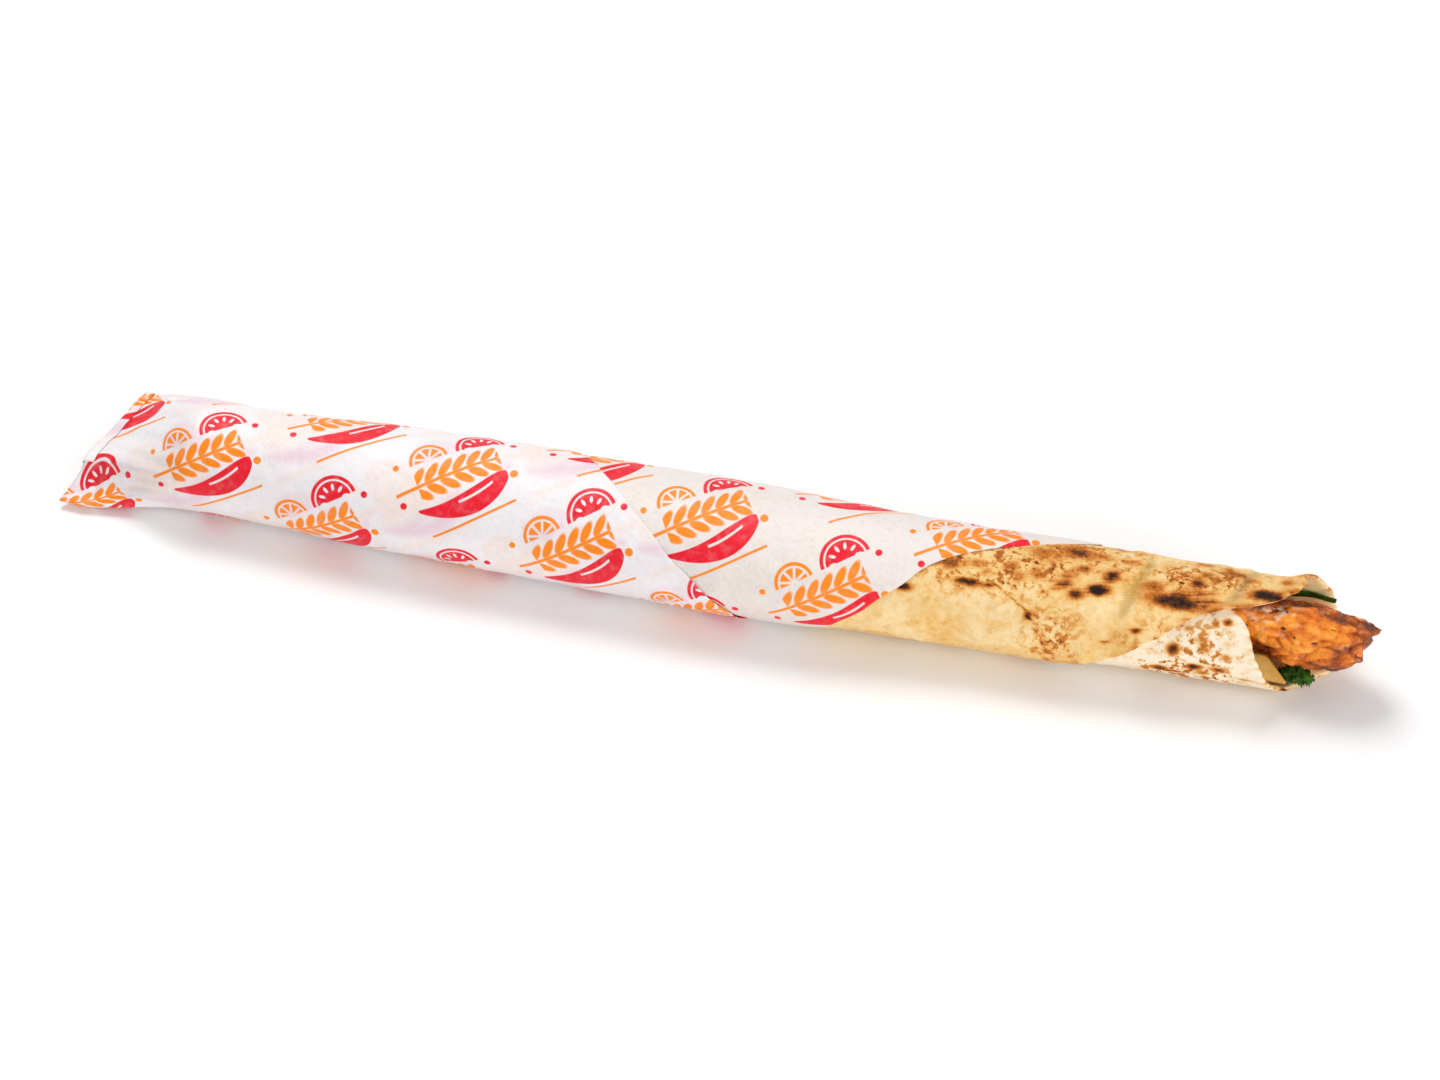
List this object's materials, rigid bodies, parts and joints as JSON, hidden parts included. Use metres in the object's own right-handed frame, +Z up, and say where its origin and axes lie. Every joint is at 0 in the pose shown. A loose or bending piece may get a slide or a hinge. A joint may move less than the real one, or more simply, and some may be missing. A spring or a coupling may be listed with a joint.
{
  "type": "gyro wrap",
  "caption": "Long flatbread roll filled with grilled chicken, fries and parsley, half unwrapped from printed greaseproof paper with a pinched end.",
  "frame": {"origin": "middle of the bounding box at its underside, on the surface that the roll lies on", "axes": "+X along the roll towards its open end, +Z up, -Y the near side, on which the seam of the flatbread runs up"},
  "size_m": [0.4241, 0.054, 0.0388],
  "materials": {
    "greaseproof_paper": "thin greaseproof paper, softly crumpled, printed in red and orange",
    "flatbread": "matte, toasted, with charred spots",
    "grilled_chicken": "glossy grilled crust with dark flecks",
    "fried_potato": "satin, fried",
    "green_leaf": "moist dark green leaf"
  },
  "bodies": {
    "root": {"paper": "greaseproof_paper", "flatbread": "flatbread", "chicken": "grilled_chicken", "fry": "fried_potato", "parsley_leaf_1": "green_leaf", "parsley_leaf_2": "green_leaf", "parsley_leaf_3": "green_leaf", "green_strip": "green_leaf"}
  },
  "joints": []
}
